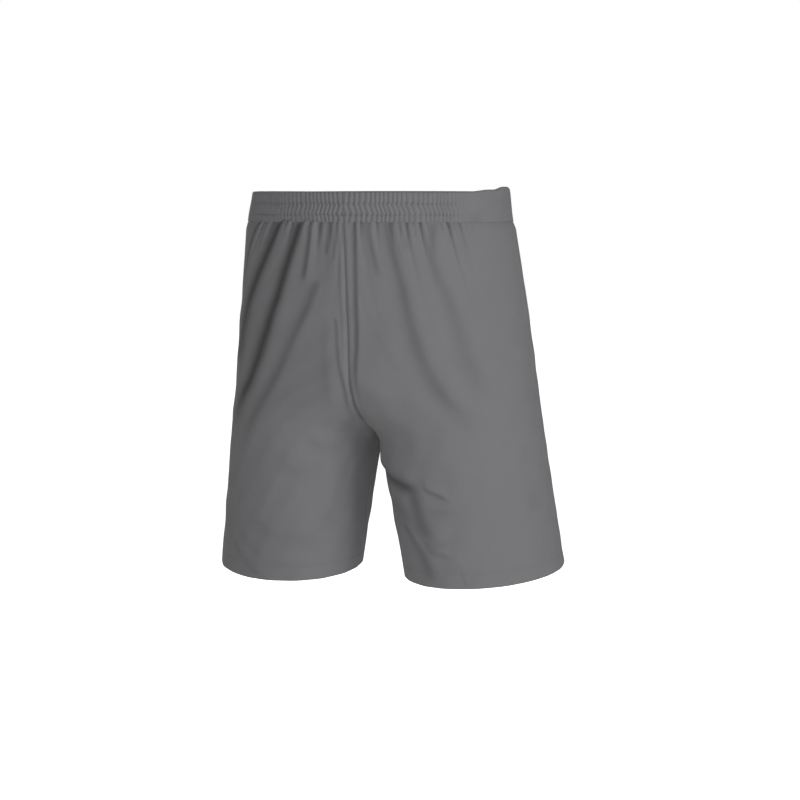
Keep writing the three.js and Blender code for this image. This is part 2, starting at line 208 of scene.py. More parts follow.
class ShortsColours(bpy.types.PropertyGroup):
    """Colours of the cloths, as sRGB."""

    shell: colour("Shell", "Outer polyester knit", "#7a7a7c")
    liner: colour("Liner", "Stretch mesh of the liner", "#2c2d31")
    elastic: colour("Elastic", "Knitted elastic", "#404146")
    waist_elastic: colour("Waist elastic", "Woven elastic inside the waistband", "#d9d9d6")
    pad: colour("Pad", "Brushed cloth over the foam pads", "#3b3d44")
    tab: colour("Tab", "Woven satin size tab", "#d8d8d4")
    floor: colour("Floor", "Studio floor", "#f4f4f4")


# ---- geometry ----------------------------------------------------------------------------------------


def smooth(xs, ys, x):
    """A smooth curve through points: on each span a cubic whose end slopes are the harmonic means of the
    slopes on either side, so it never overshoots. Outside the points it stays level."""
    xs, ys = np.asarray(xs, float), np.asarray(ys, float)
    slope = np.diff(ys) / np.diff(xs)
    ends = np.concatenate([slope[:1], slope, slope[-1:]])
    before, after = ends[:-1], ends[1:]
    same = before * after > 0
    tangent = np.where(same, 2 * before * after / np.where(same, before + after, 1), 0)
    x = np.clip(x, xs[0], xs[-1])
    number = np.clip(np.searchsorted(xs, x, side="right") - 1, 0, len(xs) - 2)
    span = xs[number + 1] - xs[number]
    part = (x - xs[number]) / span
    start, end = 2 * part**3 - 3 * part**2 + 1, 3 * part**2 - 2 * part**3
    leaving, arriving = part**3 - 2 * part**2 + part, part**3 - part**2
    turned = tangent[number] * leaving + tangent[number + 1] * arriving
    return ys[number] * start + ys[number + 1] * end + span * turned


def rounded(share, power):
    """A sine or cosine raised to a power with its sign kept, so that a circle squares off."""
    return np.sign(share) * np.abs(share) ** power


def step(low, high, x):
    """0 below low, 1 above high, and the smooth cubic between."""
    part = np.clip((x - low) / (high - low), 0, 1)
    return part * part * (3 - 2 * part)


def inner_edge(depth):
    """The leg tube's inner edge: it runs to the middle plane above the crotch and slants out below it,
    eased over a short stretch so that the cloth sags round the bottom of the rise."""
    total = 0.0
    for shift in CROTCH_EASE * np.linspace(-1, 1, 9):
        shifted = np.maximum(depth + shift, 0)
        below = np.maximum(shifted - CROTCH, 0) / (OUTSEAM - CROTCH)
        narrowing = np.minimum(shifted / CROTCH, 1) ** RISE_SQUARENESS
        above = -smooth(LEVEL_DEPTHS, LEVEL_SIDE, shifted) * (1 - narrowing)
        total = total + np.where(shifted < CROTCH, above, HEM_INNER * below)
    return total / 9


def fork_depth():
    """The depth at which the eased inner edge leaves the middle plane, found by halving."""
    low, high = CROTCH, CROTCH + 0.04
    for _ in range(40):
        tried = (low + high) / 2
        low, high = (tried, high) if inner_edge(np.array(tried)) < 0 else (low, tried)
    return high


def section(depth):
    """The leg tube's section at a depth: its middle and half width in X, centre and half depth in Y, lean
    and slope."""
    side = smooth(LEVEL_DEPTHS, LEVEL_SIDE, depth)
    below = np.maximum(depth - CROTCH, 0) / (OUTSEAM - CROTCH)
    inner = np.maximum(inner_edge(depth), -side)
    middle, half_width = (side + inner) / 2, (side - inner) / 2
    front = smooth(LEVEL_DEPTHS, LEVEL_FRONT, depth)
    back = smooth(LEVEL_DEPTHS, LEVEL_BACK, depth)
    return {
        "middle": middle,
        "half_width": half_width,
        "centre": (back - front) / 2,
        "half_depth": (back + front) / 2,
        "lean": smooth(LEVEL_DEPTHS, LEVEL_LEAN, depth),
        "slope": HEM_SLOPE * below**2,
    }


FORK = fork_depth()


def body_point(angle, depth, inset=0.0):
    """The left half's smooth outside, moved inwards by inset: an ellipse at each depth, leaning back
    outwards, with its lower edge tipped down at the front."""
    here = section(depth)
    across = (here["half_width"] - inset) * np.cos(angle)
    y = here["centre"] - (here["half_depth"] - inset) * np.sin(angle) + here["lean"] * across
    z = -depth + here["slope"] * (y - here["centre"])
    return np.stack([np.maximum(here["middle"] + across, 0), y, z], -1)


def body_normal(angle, depth):
    """The smooth outside's outward normal, from its two slopes."""
    small = 1e-4
    round_it = body_point(angle + small, depth) - body_point(angle - small, depth)
    down = body_point(angle, depth + small) - body_point(angle, np.maximum(depth - small, 0))
    normal = np.cross(round_it, down)
    return normal / np.maximum(np.linalg.norm(normal, axis=-1, keepdims=True), 1e-12)


def seam_angle(depth, inset=0.0):
    """The angle at which the leg tube, or a layer inside it, meets its seam: on the middle plane above the
    crotch, and at the inseam below."""
    here = section(depth)
    return math.pi - np.arccos(np.clip(here["middle"] / (here["half_width"] - inset), -1, 1))


def back_angle(x, depth, inset=0.0):
    """The angle of a place on the back that lies x from the middle plane."""
    here = section(depth)
    return -np.arccos(np.clip((np.abs(x) - here["middle"]) / (here["half_width"] - inset), -1, 1))


def turn_length(angle, depth):
    """Metres of cloth for each radian round the leg tube."""
    here = section(depth)
    return np.hypot(here["half_width"] * np.sin(angle), here["half_depth"] * np.cos(angle))


def fold_profile(away, steep, tail):
    """Across a fold: a steep rise through nothing where away is 0, a slow fall after it, and a shallow
    trough before it."""
    reach = np.sqrt(away * away + steep * steep)
    after, before = (reach + away) / 2, (reach - away) / 2
    rise = (1 + np.tanh(away / steep)) / 2
    return rise * np.exp(-after / tail) - 0.45 * (1 - rise) * np.exp(-before / (0.6 * tail))


def painted_crease_shade(away, steep, height, shown):
    """The shade painted into the colour at the foot of a fold, stronger in a higher one."""
    return shown * min(height / 9, 1) ** 1.3 * np.exp(-(((away + 0.5 * steep) / (1.45 * steep)) ** 2))


def wrapped(angle):
    """An angle in radians, brought to within half a turn of nothing."""
    return (angle + math.pi) % (2 * math.pi) - math.pi


def down_fold(hand, angle, depth, fold):
    """The height that one fold running down the cloth gives each place, and how much shade it paints on it.
    """
    points, height, steep_top, steep_low, tail = fold
    depths, angles = np.array([p[0] for p in points]) * MM, np.radians([p[1] for p in points])
    turned = wrapped(angle - smooth(depths, angles, depth))
    away = -hand * turned * turn_length(angle, depth)
    share = np.clip((depth - depths[0]) / (depths[-1] - depths[0]), 0, 1)
    steep = (steep_top + (steep_low - steep_top) * share) * MM
    fade = 0.25 * (depths[-1] - depths[0])
    shown = step(depths[0] - 0.006, depths[0] + 0.006, depth)
    shown = shown * (1 - step(depths[-1] - fade, depths[-1], depth))
    profile = fold_profile(away, steep, tail * MM * (0.6 + 0.6 * share))
    return shown * height * MM * profile, painted_crease_shade(away, steep, height, shown)


def round_fold(angle, depth, fold):
    """The height that one fold running round the leg gives each place, and how much shade it paints on it."""
    points, height, steep, tail = fold
    ordered = sorted(points)
    angles = np.radians([p[0] for p in ordered])
    line = smooth(angles, np.array([p[1] for p in ordered]) * MM, angle)
    width = angles[-1] - angles[0]
    shown = step(angles[0] - 0.1 * width, angles[0] + 0.25 * width, angle)
    shown = shown * (1 - step(angles[-1] - 0.25 * width, angles[-1] + 0.1 * width, angle))
    away = line - depth
    profile = fold_profile(away, steep * MM, tail * MM)
    return shown * height * MM * profile, painted_crease_shade(away, steep * MM, height, shown)


def ripple(hand, angle, depth):
    """Slow unevenness of hanging cloth: sines that cross each other, a fraction of a millimetre high."""
    girth = angle * LEG_TURN * hand
    return MM * (
        0.35 * np.sin(girth * 95 + depth * 60 + 1.0) * np.sin(depth * 52 - girth * 31)
        + 0.25 * np.sin(girth * 150 - depth * 110 + hand) + 0.15 * np.sin(girth * 47 + depth * 170 + 2.0)
    ) * step(0.06, 0.14, depth)


def gather_phase(hand, angle, pitch, lean, depth):
    """The phase of gathers round the waist, unevenly spaced, leaning with the folds below them."""
    girth = WAIST_TURN * wrapped(angle) + lean * np.maximum(depth - BAND_BOTTOM, 0) + HAND_SHIFT * hand
    uneven = 0.34 * np.sin(girth / 0.0071 + 0.7 * hand) + 0.08 * np.sin(girth / 0.0033 + 2.1)
    return 2 * math.pi * (girth / pitch + uneven)


def gathered_share(hand, angle):
    """How far the cloth is gathered: fully at front and back, hardly at the sides."""
    low, high = (30, 46) if hand == LEFT else (30, 38)
    return 0.06 + 0.94 * step(math.radians(low), math.radians(high), np.abs(angle))


def gathers(hand, angle, depth):
    """Gathers below the band: narrow valleys between round ridges, dying out downwards."""
    inwards = -hand * 0.55 * (1 - step(0.6, 1.5, np.abs(angle))) * np.sign(angle)
    lean = inwards if hand == RIGHT else -0.25 * inwards
    under = np.maximum(depth - BAND_BOTTOM, 0)
    fine = np.abs(np.sin(gather_phase(hand, angle, FINE_GATHER, lean, depth) / 2)) ** 0.9 - 0.62
    wide = np.abs(np.sin(gather_phase(hand, angle, WIDE_GATHER, lean, depth) / 2)) ** 1.1 - 0.58
    height = 0.0023 * np.exp(-((under / 0.020) ** 1.3)) * fine + 0.0015 * np.exp(-under / 0.045) * wide
    return height * gathered_share(hand, angle)


def folds(hand, angle, depth):
    """The height of all folds together at each place, and the deepest painted shade among them."""
    down = [down_fold(hand, angle, depth, fold) for fold in DOWN_FOLDS[hand] + BACK_DOWN_FOLDS]
    around = [round_fold(angle, depth, fold) for fold in ROUND_FOLDS[hand] + BACK_ROUND_FOLDS]
    heights, shades = zip(*down, *around)
    return sum(heights), np.maximum.reduce(shades)


def relief(hand, angle, depth):
    """How far the cloth stands out from its smooth shape at each place."""
    return gathers(hand, angle, depth) + ripple(hand, angle, depth) + folds(hand, angle, depth)[0]


def painted_shade_of(hand, angle, depth):
    """How much shade is painted on each place, from 0 to 1, deeper in a fold or a gather."""
    gathered = np.clip(-gathers(hand, angle, depth) / GATHER_SHADE_DEPTH, 0, 1)
    return np.maximum(0.55 * gathered, folds(hand, angle, depth)[1])


def cloth_relief(hand, angle, depth):
    """Relief that agrees at the rise seam, where the two halves are sewn: within a few millimetres of the
    seam each half moves over to the mean of the two. The rise seam is drawn in between two soft ridges, and
    the side seam and the hem's stitches lie in shallow grooves."""
    own = relief(hand, angle, depth)
    seam = seam_angle(depth)
    facing = np.sign(angle)
    at_seam = [relief(h, facing * seam, depth) for h in (LEFT, RIGHT)]
    mine = at_seam[0] if hand == LEFT else at_seam[1]
    away = (seam - np.abs(angle)) * turn_length(angle, depth)
    near = np.exp(-away / 0.007) * (1 - step(FORK - 0.002, FORK, depth))
    groove = 0.0006 * np.exp(-((away / 0.0013) ** 2))
    ridge = 0.0010 * np.exp(-(((away - 0.0046) / 0.0022) ** 2)) * (1 - step(FORK - 0.02, FORK, depth))
    side_groove = 0.0004 * np.exp(-((angle * WAIST_TURN / 0.0012) ** 2))
    hem_dent = 0.0004 * np.exp(-(((depth - OUTSEAM + 0.016) / 0.0016) ** 2))
    return own + near * (sum(at_seam) / 2 - mine) + ridge - groove - side_groove - hem_dent


def rim_lift(hand, angle, depth):
    """The band stands a little higher at the wearer's left side, with a small peak at the seam."""
    if hand == RIGHT:
        return 0.0
    away = np.degrees(np.abs(angle + 0.02))
    rise = 0.0026 * (1 - step(18, 34, away)) + 0.0034 * (1 - step(3, 15, away))
    return rise * (1 - step(0.0, 0.045, depth))


def band_tuck(hand, angle, depth):
    """How far the elastic draws the band in at the sides: more at the rim on the wearer's right."""
    near = np.cos(angle) ** 2
    if hand == RIGHT:
        return near * (0.0052 - 0.0036 * step(0.0, BAND_BOTTOM, depth))
    return near * (0.0006 + 0.0012 * step(0.0, BAND_BOTTOM, depth))


def rise_drape(angle, depth):
    """How far the front hangs straight down instead of curving in towards the fork."""
    away = (seam_angle(depth) - angle) * turn_length(angle, depth)
    down = step(0.150, 0.245, depth) * (1 - step(FORK - 0.020, FORK + 0.016, depth))
    return 0.012 * down * np.exp(-((away / 0.055) ** 2))


def cloth_point(hand, angle, depth, inset=0.0):
    """A place on the folded cloth: the smooth outside plus its relief along the normal, less the inset. It
    stays on its own side of the middle plane."""
    out = cloth_relief(hand, angle, depth) - inset
    place = body_point(angle, depth) + out[..., None] * body_normal(angle, depth)
    at_seam = (np.abs(angle) >= seam_angle(depth) - 1e-9) & (depth <= FORK)
    x = np.where(at_seam, 0.0, np.maximum(place[..., 0], np.where(depth > FORK, 0.0004, 0.0)))
    y, z = place[..., 1] - rise_drape(angle, depth), place[..., 2] + rim_lift(hand, angle, depth)
    return np.stack([hand * x, y, z], -1)


def inner_point(hand, angle, depth, inset):
    """A place on a smooth layer inside the shell."""
    place = body_point(angle, depth, inset)
    return place * np.array([hand, 1.0, 1.0])


# ---- meshes ------------------------------------------------------------------------------------------


def grid_quads(rows, columns, first=0, ring=False, loop=False):
    """The quads of a grid of points numbered row by row. ring joins the last column to the first, and loop
    joins the last row to the first."""
    row = np.arange(rows if loop else rows - 1)
    column = np.arange(columns if ring else columns - 1)
    row, column = np.meshgrid(row, column, indexing="ij")
    next_row, next_column = (row + 1) % rows, (column + 1) % columns
    corners = ((row, column), (row, next_column), (next_row, next_column), (next_row, column))
    quads = np.stack([r * columns + c for r, c in corners], -1)
    return first + quads.reshape(-1, 4)


def signed_volume(points, quads):
    """Six times the volume inside a closed mesh of quads, negative when it is inside out."""
    a, b, c, d = (points[quads[:, i]] for i in range(4))
    return np.sum(np.cross(b - a, c - a) * (a + b + c) / 3) + np.sum(np.cross(c - a, d - a) * (a + c + d) / 3)


def new_object(name, data):
    """An object in the scene that holds a mesh, a lamp or a lens."""
    made = bpy.data.objects.new(name, data)
    bpy.context.scene.collection.objects.link(made)
    return made


def add_object(name, points, quads, uv=None, painted_shade=None):
    """A new smooth-shaded mesh object whose faces point outwards, with a UV map in metres of cloth, and how
    much shade is painted on each point, from 0 to 1, deepest in a fold."""
    points = np.ascontiguousarray(points.reshape(-1, 3))
    if signed_volume(points - points.mean(0), quads) < 0:
        quads = quads[:, ::-1]
    mesh = bpy.data.meshes.new(name)
    mesh.vertices.add(len(points))
    mesh.vertices.foreach_set("co", points.astype(np.float32).ravel())
    mesh.loops.add(quads.size)
    mesh.loops.foreach_set("vertex_index", quads.astype(np.int32).ravel())
    mesh.polygons.add(len(quads))
    mesh.polygons.foreach_set("loop_start", np.arange(0, quads.size, 4, dtype=np.int32))
    mesh.polygons.foreach_set("use_smooth", np.ones(len(quads), bool))
    if uv is not None:
        layer = mesh.uv_layers.new(name="cloth")
        layer.data.foreach_set("uv", uv.reshape(-1, 2)[quads.ravel()].astype(np.float32).ravel())
    # The per-point attribute is the shade to paint into the colour, from 0 to 1.
    if painted_shade is not None:
        shade = mesh.attributes.new("painted_shade", "FLOAT", "POINT")
        shade.data.foreach_set("value", painted_shade.astype(np.float32).ravel())
    mesh.update(calc_edges=True)
    return new_object(name, mesh)


def two_layers(name, outside, inside, uv, painted_shade=None):
    """A closed sheet of cloth from its two faces, grids of the same size, joined round their edges."""
    rows, columns = outside.shape[:2]
    count = rows * columns
    faces = [grid_quads(rows, columns), grid_quads(rows, columns, first=count)[:, ::-1]]
    number = np.arange(count).reshape(rows, columns)
    border = np.concatenate([number[0], number[1:, -1], number[-1, -2::-1], number[-2:0:-1, 0]])
    after = np.roll(border, -1)
    faces.append(np.stack([after, border, border + count, after + count], -1))
    points = np.concatenate([outside.reshape(-1, 3), inside.reshape(-1, 3)])
    both = None if painted_shade is None else np.concatenate([painted_shade.ravel()] * 2)
    return add_object(name, points, np.concatenate(faces), np.concatenate([uv.reshape(-1, 2)] * 2), both)


def stitches(name, path, out, along, size=(0.0019, 0.00042)):
    """A row of short threads: each a closed eight-sided bead, long along the path, half sunk in the cloth.
    path, out and along are arrays of places, outward normals and directions."""
    length, radius = size
    turn = np.arange(8) * math.pi / 4
    stations = np.array([-0.5, -0.32, 0.0, 0.32, 0.5])
    girth = np.array([0.05, 0.8, 1.0, 0.8, 0.05])
    sideways = np.cross(along, out)
    ring = np.cos(turn)[None, :, None, None] * sideways + np.sin(turn)[None, :, None, None] * out
    body = path + stations[:, None, None, None] * length * along + girth[:, None, None, None] * radius * ring
    body = np.moveaxis(body, 2, 0)
    count = len(path)
    end = np.array([[0, 1, 2, 3], [0, 3, 4, 7], [4, 5, 6, 7]])
    far_end = end[:, ::-1] + 8 * (len(stations) - 1)
    faces = np.concatenate([grid_quads(len(stations), 8, ring=True), end[:, ::-1], far_end[:, ::-1]])
    quads = (faces[None] + np.arange(count)[:, None, None] * len(stations) * 8).reshape(-1, 4)
    return add_object(name, body, quads)


# ---- materials ---------------------------------------------------------------------------------------


def linear(srgb):
    """An sRGB colour turned linear, with alpha."""
    values = [c / 12.92 if c <= 0.04045 else ((c + 0.055) / 1.055) ** 2.4 for c in srgb]
    return [*values, 1.0]


def add_node(tree, kind, settings=None, **inputs):
    """A node with its settings, and its inputs set to values or linked from other nodes' sockets. An input
    is given by its name, or as i0, i1 and so on where several share one name."""
    node = tree.nodes.new(kind)
    for name, value in (settings or {}).items():
        setattr(node, name, value)
    for name, value in inputs.items():
        numbered = name[0] == "i" and name[1:].isdigit()
        socket = node.inputs[int(name[1:]) if numbered else name.replace("_", " ")]
        if isinstance(value, bpy.types.NodeSocket):
            tree.links.new(value, socket)
        else:
            socket.default_value = value
    return node


def cloth_map(tree):
    """Metres of cloth round and down, as a socket."""
    return add_node(tree, "ShaderNodeUVMap", {"uv_map": "cloth"}).outputs[0]


def place_of(tree):
    """The place on the object, in metres, as a socket."""
    return add_node(tree, "ShaderNodeTexCoord").outputs["Object"]


def noise(tree, place, grain, detail, **inputs):
    """Uneven tone from 0 to 1 whose grain is given in metres."""
    inputs = {"Vector": place, "Scale": 1 / grain, "Detail": detail, **inputs}
    return add_node(tree, "ShaderNodeTexNoise", **inputs).outputs[0]


def reckon(tree, operation, *values):
    """The outcome of one step of arithmetic on numbers and sockets."""
    inputs = {f"i{number}": value for number, value in enumerate(values)}
    return add_node(tree, "ShaderNodeMath", {"operation": operation}, **inputs).outputs[0]


def mean_of(tree, one, other):
    """Half the sum of two sockets."""
    return reckon(tree, "MULTIPLY", reckon(tree, "ADD", one, other), 0.5)


def raise_cloth(tree, shader, strength, distance, height, **under):
    """Raises a shader's surface by a height socket, over the finer bump under it where there is one."""
    bump = add_node(tree, "ShaderNodeBump", Strength=strength, Distance=distance, Height=height, **under)
    tree.links.new(bump.outputs[0], shader.inputs["Normal"])


def new_material(name, roughness, ior=1.5, sheen=0.0, specular=0.5):
    """A material with a plain shader, and the shader and tree to build on."""
    material = bpy.data.materials.new(name)
    material.use_nodes = True
    tree = material.node_tree
    shader = tree.nodes["Principled BSDF"]
    for socket, value in (
        ("Roughness", roughness), ("IOR", ior), ("Sheen Weight", sheen), ("Specular IOR Level", specular),
        ("Sheen Roughness", 0.5),
    ):
        shader.inputs[socket].default_value = value
    return material, tree, shader


def two_tone(tree, base, factor, darker, lighter):
    """A colour that wanders between a darker and a lighter share of its base."""
    tones = [[min(c * k, 1.0) for c in base[:3]] + [1.0] for k in (darker, lighter)]
    mix = add_node(tree, "ShaderNodeMix", {"data_type": "RGBA"})
    mix.inputs[6].default_value, mix.inputs[7].default_value = tones
    tree.links.new(factor, mix.inputs[0])
    return mix.outputs[2]


def knit_material(name, base, roughness, pitch, depth, creasing, sheen):
    """Warp-knit polyester, dull-dyed and matte: rows of tiny loops give a soft, even tone with no sparkle,
    handling leaves it faintly creased, and shade is painted into its colour in the hollows of the folds.
    pitch is the loop spacing in metres. The real loops are about half a millimetre apart, and are drawn at
    twice that so that they show."""
    material, tree, shader = new_material(name, roughness, sheen=sheen, specular=0.25)
    uv = cloth_map(tree)
    place = place_of(tree)
    waves = [
        add_node(
            tree, "ShaderNodeTexWave", {"wave_type": "BANDS", "bands_direction": axis, "wave_profile": "SIN"},
            Vector=uv, Scale=1 / (2 * pitch), Distortion=0.6, Detail=1.0,
        ).outputs[1]
        for axis in ("X", "Y")
    ]
    loops = reckon(tree, "MULTIPLY", *waves)
    creases = noise(tree, place, 0.022, 3.0, Roughness=0.55, Distortion=0.6)
    tone = mean_of(tree, noise(tree, place, 0.0012, 2.0), noise(tree, place, 0.09, 2.0))
    dye = two_tone(tree, base, tone, 0.93, 1.07)
    # Painted shade: the colour is mixed towards a dark share of the base in the hollows of folds and gathers,
    # by the attribute stored on the mesh.
    painted_shade = add_node(tree, "ShaderNodeAttribute", {"attribute_name": "painted_shade"}).outputs["Fac"]
    shade = reckon(tree, "MULTIPLY", painted_shade, 0.74)
    shaded = add_node(tree, "ShaderNodeMix", {"data_type": "RGBA"})
    shaded.inputs[7].default_value = [c * 0.12 for c in base[:3]] + [1.0]
    tree.links.new(shade, shaded.inputs[0])
    tree.links.new(dye, shaded.inputs[6])
    tree.links.new(shaded.outputs[2], shader.inputs["Base Color"])
    fine = add_node(tree, "ShaderNodeBump", Strength=0.5, Distance=depth, Height=loops).outputs[0]
    raise_cloth(tree, shader, 1.0, creasing, creases, Normal=fine)
    return material


def mesh_material(name, base, roughness):
    """Power mesh, knitted black with open holes: a round pit every two millimetres, staggered."""
    material, tree, shader = new_material(name, roughness, sheen=0.1, specular=0.3)
    uv = cloth_map(tree)
    pits = add_node(
        tree, "ShaderNodeTexVoronoi", {"feature": "F1", "voronoi_dimensions": "2D"}, Vector=uv,
        Scale=1 / 0.0022, Randomness=0.15,
    ).outputs[0]
    edge = add_node(tree, "ShaderNodeMapRange", Value=pits)
    edge.inputs[1].default_value, edge.inputs[2].default_value = 0.18, 0.42
    tree.links.new(two_tone(tree, base, edge.outputs[0], 0.25, 1.15), shader.inputs["Base Color"])
    raise_cloth(tree, shader, 0.8, 0.0004, edge.outputs[0])
    return material


def rib_material(name, base, roughness, pitch):
    """Ribbed elastic, crochet-knitted over rubber: round cords side by side with dark gaps between."""
    material, tree, shader = new_material(name, roughness, sheen=0.1, specular=0.3)
    uv = cloth_map(tree)
    ribs, picks = (
        add_node(
            tree, "ShaderNodeTexWave", {"bands_direction": axis}, Vector=uv, Scale=1 / (2 * spacing),
            Distortion=0.3,
        ).outputs[1]
        for axis, spacing in (("X", pitch), ("Y", 0.0012))
    )
    both = reckon(tree, "MULTIPLY_ADD", picks, 0.35, ribs)
    tree.links.new(two_tone(tree, base, ribs, 0.6, 1.15), shader.inputs["Base Color"])
    raise_cloth(tree, shader, 0.9, 0.0005, both)
    return material


def pad_material(name, base, roughness):
    """Brushed polyester laminated to foam: a short nap, dull and a little cloudy, with fine pilling."""
    material, tree, shader = new_material(name, roughness, sheen=0.3, specular=0.2)
    place = place_of(tree)
    nap = noise(tree, place, 0.0011, 4.0)
    tone = mean_of(tree, nap, noise(tree, place, 0.018, 2.0))
    tree.links.new(two_tone(tree, base, tone, 0.75, 1.3), shader.inputs["Base Color"])
    raise_cloth(tree, shader, 0.7, 0.0003, nap)
    return material


def satin_material(name, base, roughness):
    """Woven satin ribbon: long floats one way give it a soft gleam, with a fine rib across."""
    material, tree, shader = new_material(name, roughness, sheen=0.1, specular=0.6)
    uv = cloth_map(tree)
    picks = add_node(tree, "ShaderNodeTexWave", {"bands_direction": "Y"}, Vector=uv, Scale=1 / 0.0016)
    rib = picks.outputs[1]
    tree.links.new(two_tone(tree, base, rib, 0.9, 1.05), shader.inputs["Base Color"])
    raise_cloth(tree, shader, 0.5, 0.0001, rib)
    return material


SHELL = "shell warp knit, matte"


def material(name):
    """The named material, made the first time that it is asked for."""
    if name in bpy.data.materials:
        return bpy.data.materials[name]
    tint = bpy.context.scene.shorts_colours
    makers = {
        SHELL: lambda: knit_material(
            name, linear(tint.shell), 0.85, pitch=0.0010, depth=0.00006, creasing=0.0005, sheen=0.05
        ),
        "liner power mesh": lambda: mesh_material(name, linear(tint.liner), 0.8),
        "ribbed elastic": lambda: rib_material(name, linear(tint.elastic), 0.8, pitch=0.0024),
        "waist elastic, woven": lambda: rib_material(name, linear(tint.waist_elastic), 0.8, pitch=0.0018),
        "pad cloth, brushed": lambda: pad_material(name, linear(tint.pad), 0.9),
        "satin ribbon": lambda: satin_material(name, linear(tint.tab), 0.4),
    }
    return makers[name]()


def dress(piece, material_name, replaced, body=None):
    """Gives a finished piece its material, hides the parts that it stands for and attaches it to its body."""
    piece.data.materials.clear()
    piece.data.materials.append(material(material_name))
    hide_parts(*replaced)
    if body:
        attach(piece, body)
    return piece


def bend(piece):
    """Bakes a piece's placement into its mesh."""
    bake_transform(piece)


def cloth_uv(angle, depth):
    """Metres of cloth round and down, for weave patterns."""
    return np.stack([angle * LEG_TURN, depth], -1)


def panel_grid(top, bottom, columns, rows_above, rows_below, crotch=FORK):
    """The share of the way across a panel of each column, from the seam on the middle plane and inseam to
    the side seam, and the depth of each point. Towards the middle the rows above the crotch crowd down to
    it, where the seam turns under."""
    share = np.linspace(0, 1, columns)[None, :]
    down = np.linspace(0, 1, rows_above, endpoint=False)[:, None]
    crowd = (1 - share) ** 3
    above = top + (crotch - top) * ((1 - crowd) * down + crowd * (1 - (1 - down) ** 2))
    below = crotch + (bottom - crotch) * np.linspace(0, 1, rows_below)[:, None] + 0 * share
    return share, np.concatenate([above, below])


# ---- operators ---------------------------------------------------------------------------------------


class SHORTS_OT_panels(bpy.types.Operator):
    """Four outer panels of knit, front and back for each hand, folded and hanging as worn"""

    bl_idname = "shorts.panels"
    bl_label = "Outer panels"

    def execute(self, context):
        sizes = context.scene.shorts_sizes
        top = BAND_BOTTOM - 0.003
        for hand in SIDES:
            for facing in FACES:
                share, depth = panel_grid(top, OUTSEAM, 150, 150, 104)
                angle = facing * (1 - share) * seam_angle(depth)
                tuck = 0.0009 * (1 - step(BAND_BOTTOM - 0.001, BAND_BOTTOM + 0.0025, depth))
                near_band = 1 - step(BAND_BOTTOM, BAND_BOTTOM + 0.010, depth)
                tuck = tuck + band_tuck(hand, angle, depth) * near_band
                outside = cloth_point(hand, angle, depth, inset=tuck)
                inside = cloth_point(hand, angle, depth, inset=tuck + sizes.cloth)
                # The shade painted into the knit's colour in its folds and gathers.
                painted_shade = painted_shade_of(hand, angle, depth)
                stem = f"{SIDES[hand]}_{FACES[facing]}_panel"
                piece = two_layers(stem, outside, inside, cloth_uv(angle, depth), painted_shade)
                dress(piece, SHELL, [stem + "_upper", stem + "_leg"])
                bend(piece)
        return {"FINISHED"}


def band_relief(hand, angle, depth):
    """Fine gathers of the elastic casing: upright ridges between rows of stitches, leaning one way and then
    the other, pinched flat where each row is sewn."""
    sizes = bpy.context.scene.shorts_sizes
    rows = np.array([-0.002, 0.0138, 0.0272, BAND_BOTTOM + 0.0005])
    zone = np.clip(np.searchsorted(rows, depth) - 1, 0, 2)
    along = (depth - rows[zone]) / (rows[zone + 1] - rows[zone])
    shift = np.array([0.0006, -0.0022, 0.0008])[zone] * (np.cos(math.pi * along) / 2)
    girth = WAIST_TURN * wrapped(angle) + shift + HAND_SHIFT * hand
    uneven = 0.30 * np.sin(girth / 0.0083 + 0.9 * hand) + 0.07 * np.sin(girth / 0.0031 + zone * 0.9)
    ridge = np.abs(np.sin(math.pi * (girth / sizes.gather_pitch + uneven))) ** 0.9 - 0.62
    sewn = np.exp(-(((depth[..., None] - rows[1:]) / 0.0010) ** 2)).sum(-1)
    height = sizes.gather_height * ridge * (1 - 0.25 * sewn) - 0.0003 * sewn
    puff = 0.0005 * np.sin(math.pi * np.clip(along, 0, 1))
    return gathered_share(hand, angle) * (height + puff) + ripple(hand, angle, depth + 0.08) * 0.5


